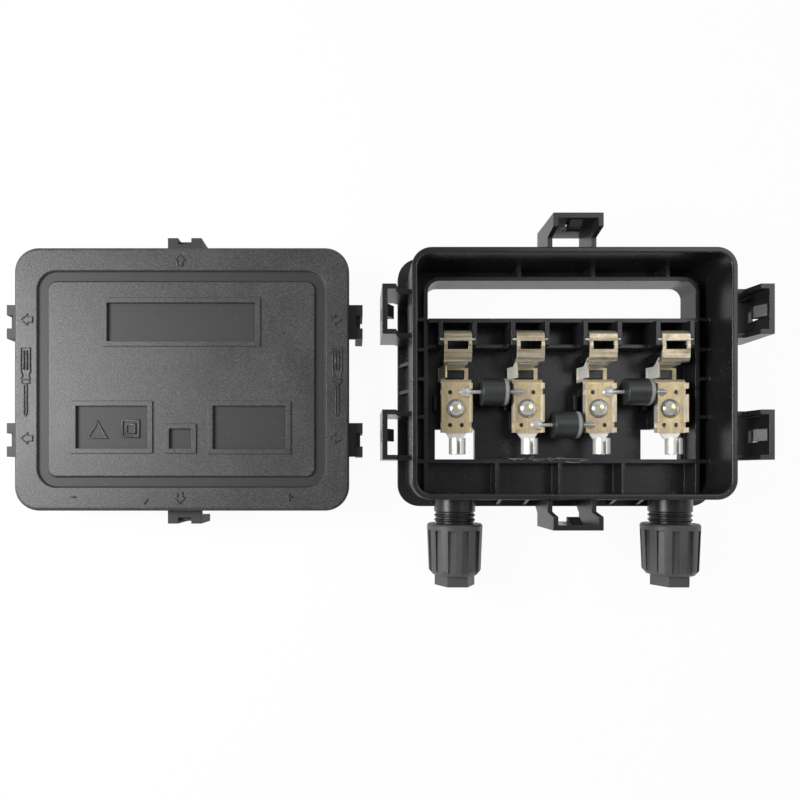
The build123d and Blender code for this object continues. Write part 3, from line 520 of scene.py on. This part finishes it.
relief(
    "lid_panel_signs",
    [(TRIANGLE, (-27.7, -16.8), (1, 0)), (SQUARES + INNER_SQUARE, (-16.8, -16.3), (1, 0))],
    PANEL_FLOOR, 0.8, 0.3,
)


# ------------------------------------------------------------------ rubber
# The lid's ring and the glands' sleeves are black rubber.
RUBBER = plastic("black_rubber", (0.012, 0.012, 0.012), (0.020, 0.020, 0.020), 0.62, 0.4, 0.05, 0)
dress(RUBBER, "lid_seal", "gland_seal_left", "gland_seal_right")


# ------------------------------------------------------------------ glands
# Nut and clamping insert are black nylon, greyer and duller than the base.
NYLON = plastic(
    "nylon_black", (0.055, 0.055, 0.055), (0.072, 0.072, 0.071), 0.44, 0.5, 0.03, 0.35, dust=0.12
)
dress(NYLON, "gland_nut_left", "gland_nut_right", "gland_claw_left", "gland_claw_right")


# ------------------------------------------------------------------ terminal plates
# Stamped brass plates, tinned thin: tan faces stained brown by heat and flux, with folded sides
# painted bright as a highlight, and bright tin at the crimp barrels.
TIN_EDGE = 0.6


def sheet_metal(name, face, stain, bright, rough, metal, blot_mm, rolled, lines=0.25, tin_y=None):
    """Rolled sheet: stained upper face, sides painted bright as a highlight, and rolling lines that are
    partly painted highlight bands.

    rolled is how fine the lines are along X and along Y; bright tin covers the stain below tin_y mm.
    """
    material = bpy.data.materials.new(name)
    material.use_nodes = True
    tree = material.node_tree
    shader = tree.nodes["Principled BSDF"]
    shader.inputs["Metallic"].default_value = metal
    where = node(tree, "ShaderNodeTexCoord")
    place = where.outputs["Object"]
    blot = node(tree, "ShaderNodeTexNoise", Scale=1.0 / (blot_mm * MM), Detail=4.0, Roughness=0.65)
    joined(tree, (place, blot.inputs["Vector"]))
    colour = blended(tree, ranged(tree, blot.outputs["Fac"], 0.42, 0.66), face, stain)

    # Light bands along the rolling direction: partly real rolling lines, partly painted highlight on the
    # bent sheet.
    stretch = node(tree, "ShaderNodeMapping", Scale=(*rolled, 1500.0))
    roll = node(tree, "ShaderNodeTexNoise", Scale=1.0, Detail=3.0)
    joined(tree, (place, stretch.inputs["Vector"]), (stretch.outputs[0], roll.inputs["Vector"]))
    rolling_lines_and_painted_sheen = ranged(tree, roll.outputs["Fac"], 0.35, 0.65, 0.0, lines)
    colour = blended(tree, rolling_lines_and_painted_sheen, colour, bright)
    if tin_y is not None:
        split = node(tree, "ShaderNodeSeparateXYZ")
        joined(tree, (place, split.inputs[0]))
        untinned = ranged(tree, split.outputs["Y"], (tin_y - TIN_EDGE) * MM, tin_y * MM)
        colour = blended(tree, untinned, bright, colour)
    # Faces that turn away from up get the bright colour: a painted highlight on the folded sides and
    # bends.
    painted_highlight_facing = node(tree, "ShaderNodeSeparateXYZ")
    joined(tree, (where.outputs["Normal"], painted_highlight_facing.inputs[0]))
    colour = blended(tree, ranged(tree, painted_highlight_facing.outputs["Z"], 0.55, 0.85), bright, colour)
    wear = ranged(tree, blot.outputs["Fac"], 0.3, 0.7, rough - 0.06, rough + 0.12)
    bump = node(tree, "ShaderNodeBump", Strength=0.3, Distance=0.02 * MM)
    edge = node(tree, "ShaderNodeBevel", Radius=0.12 * MM)
    edge.samples = EDGE_SAMPLES
    joined(
        tree,
        (colour, shader.inputs["Base Color"]),
        (wear, shader.inputs["Roughness"]),
        (roll.outputs["Fac"], bump.inputs["Height"]),
        (edge.outputs[0], bump.inputs["Normal"]),
        (bump.outputs[0], shader.inputs["Normal"]),
    )
    return material


TERMINALS = range(1, 5)
TINNED_BRASS = sheet_metal(
    "tinned_brass", (0.60, 0.46, 0.21), (0.48, 0.37, 0.27), (0.80, 0.79, 0.74), 0.36, 0.55, 2.4,
    rolled=(2200.0, 60.0), lines=0.18, tin_y=-18.3,
)
dress(TINNED_BRASS, *[f"terminal_plate_{n}" for n in TERMINALS])


# ------------------------------------------------------------------ ribbon clips and their pins
# Spring bronze, browner than the plates, with clear rolling lines whose light bands are partly painted
# highlight, and sides painted bright as a highlight. The pins are bright drawn wire.
SPRING_BRONZE = sheet_metal(
    "spring_bronze", (0.40, 0.32, 0.20), (0.24, 0.18, 0.11), (0.76, 0.71, 0.58), 0.26, 0.75, 2.8,
    rolled=(60.0, 1100.0), lines=0.55,
)
dress(SPRING_BRONZE, *[f"ribbon_clip_{n}" for n in TERMINALS])


DULL_SHARE = 0.75


def bright_metal(name, colour, rough, metal, dent_mm, dent_depth):
    """Bright solid metal with a slightly uneven surface."""
    material = bpy.data.materials.new(name)
    material.use_nodes = True
    tree = material.node_tree
    shader = tree.nodes["Principled BSDF"]
    shader.inputs["Metallic"].default_value = metal
    place = node(tree, "ShaderNodeTexCoord").outputs["Object"]
    dent = node(tree, "ShaderNodeTexNoise", Scale=1.0 / (dent_mm * MM), Detail=3.0)
    joined(tree, (place, dent.inputs["Vector"]))
    dull = tuple(c * DULL_SHARE for c in colour)
    tone = blended(tree, ranged(tree, dent.outputs["Fac"], 0.3, 0.7), dull, colour)
    wear = ranged(tree, dent.outputs["Fac"], 0.3, 0.7, rough - 0.06, rough + 0.10)
    bump = node(tree, "ShaderNodeBump", Strength=0.5, Distance=dent_depth * MM)
    joined(
        tree,
        (tone, shader.inputs["Base Color"]),
        (wear, shader.inputs["Roughness"]),
        (dent.outputs["Fac"], bump.inputs["Height"]),
        (bump.outputs[0], shader.inputs["Normal"]),
    )
    return material


DRAWN_WIRE = bright_metal("drawn_wire", (0.74, 0.74, 0.72), 0.28, 0.6, 0.6, 0.02)
dress(DRAWN_WIRE, *[f"clip_pin_{n}" for n in TERMINALS])


# ------------------------------------------------------------------ rivets
# Bright domed heads hold the plates down; the yellow crown and the grey ring round it are painted
# reflection.
RIVET = bright_metal("rivet_dome", (0.86, 0.85, 0.82), 0.16, 0.7, 1.5, 0.03)
CROWN_RADII = (0.7, 1.4)
PAINTED_CROWN_REFLECTION = (0.80, 0.76, 0.40)
DOME_RADII = (2.0, 2.6)
PAINTED_RIM_REFLECTION = (0.45, 0.44, 0.40)


def domed(name):
    """Rivet metal with a yellow crown and a grey ring round it, both painted reflection, centred on one
    rivet.
    """
    low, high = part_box(name)
    material = RIVET.copy()
    material.name = f"{name}_finish"
    tree = material.node_tree
    shader = tree.nodes["Principled BSDF"]
    flat = node(tree, "ShaderNodeVectorMath")
    flat.operation = "MULTIPLY"
    flat.inputs[1].default_value = (1, 1, 0)
    out = node(tree, "ShaderNodeVectorMath")
    out.operation = "DISTANCE"
    out.inputs[1].default_value = ((low.x + high.x) / 2, (low.y + high.y) / 2, 0)
    joined(
        tree,
        (node(tree, "ShaderNodeTexCoord").outputs["Object"], flat.inputs[0]),
        (flat.outputs[0], out.inputs[0]),
    )
    clean = shader.inputs["Base Color"].links[0].from_socket
    # Painted reflection: yellow at the crown, grey at the dome's edge.
    past_crown = ranged(tree, out.outputs["Value"], CROWN_RADII[0] * MM, CROWN_RADII[1] * MM)
    past_dome = ranged(tree, out.outputs["Value"], DOME_RADII[0] * MM, DOME_RADII[1] * MM)
    crown = blended(tree, past_crown, PAINTED_CROWN_REFLECTION, clean)
    joined(tree, (blended(tree, past_dome, crown, PAINTED_RIM_REFLECTION), shader.inputs["Base Color"]))
    dress(material, name)


for n in TERMINALS:
    domed(f"terminal_rivet_{n}")


# ------------------------------------------------------------------ diodes
# Black epoxy cylinders with tinned leads and bright solder. A pale ring on each marks the cathode.
DIODES = range(1, 4)
EPOXY = plastic(
    "diode_epoxy", (0.020, 0.023, 0.020), (0.036, 0.040, 0.036), 0.34, 0.3, 0.06, 0.2, dust=0.16
)
dress(EPOXY, *[f"diode_body_{n}" for n in DIODES])
RING_WIDTH = 1.15
RING_INSET = 0.5
RING_EDGE = 0.04
RING_PAINT = (0.27, 0.27, 0.26)


def cathode_ring(name):
    """The epoxy with a pale printed ring near the right end of one diode body."""
    _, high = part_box(name)
    material = EPOXY.copy()
    material.name = f"{name}_finish"
    tree = material.node_tree
    shader = tree.nodes["Principled BSDF"]
    across = node(tree, "ShaderNodeSeparateXYZ")
    joined(tree, (node(tree, "ShaderNodeTexCoord").outputs["Object"], across.inputs[0]))
    end = high.x - RING_INSET * MM
    start = end - RING_WIDTH * MM
    after = ranged(tree, across.outputs["X"], start - RING_EDGE * MM, start + RING_EDGE * MM)
    before = ranged(tree, across.outputs["X"], end - RING_EDGE * MM, end + RING_EDGE * MM, 1.0, 0.0)
    both = node(tree, "ShaderNodeMath")
    both.operation = "MULTIPLY"
    joined(tree, (after, both.inputs[0]), (before, both.inputs[1]))
    body_colour = shader.inputs["Base Color"].links[0].from_socket
    painted = blended(tree, both.outputs[0], body_colour, RING_PAINT)
    joined(tree, (painted, shader.inputs["Base Color"]))
    dress(material, name)


for n in DIODES:
    cathode_ring(f"diode_body_{n}")
TINNED = bright_metal("tinned_wire", (0.62, 0.62, 0.59), 0.36, 0.45, 0.8, 0.03)
dress(TINNED, *[f"diode_leads_{n}" for n in DIODES])
SOLDER = bright_metal("solder", (0.68, 0.67, 0.63), 0.30, 0.45, 1.1, 0.15)
dress(SOLDER, "solder_joints")
